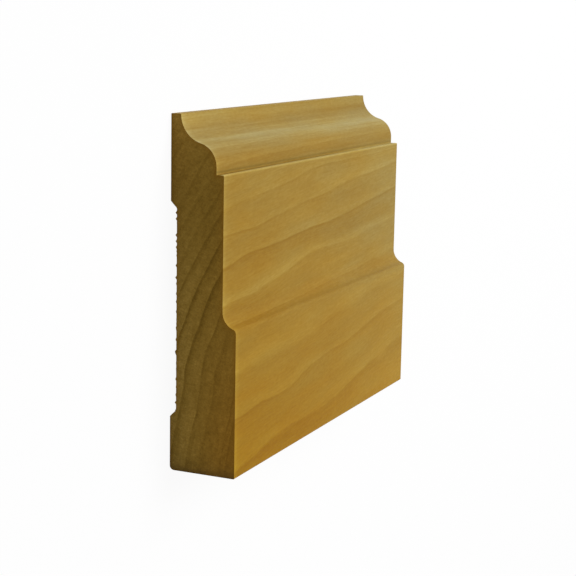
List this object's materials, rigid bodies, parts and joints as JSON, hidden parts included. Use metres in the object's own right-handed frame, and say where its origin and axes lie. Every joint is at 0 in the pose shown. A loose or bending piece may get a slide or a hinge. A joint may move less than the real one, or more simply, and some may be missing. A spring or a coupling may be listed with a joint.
{
  "type": "skirting board length",
  "caption": "Short length of solid wood skirting board with a moulded ogee top, flat field, stepped plinth and relieved back, sawn square at both ends.",
  "frame": {"origin": "middle of the back, at mid-length and mid-height, on the plane of the two lands that bear on a wall", "axes": "+X along the length, +Y up the board from its bottom edge to its top edge, +Z out of the back towards the moulded face; the board lies on its back"},
  "size_m": [0.1778, 0.1334, 0.027],
  "materials": {
    "board_wood": "bare planed poplar, unfinished, with rough sawn end grain"
  },
  "bodies": {
    "root": {"skirting_board": "board_wood"}
  },
  "joints": []
}
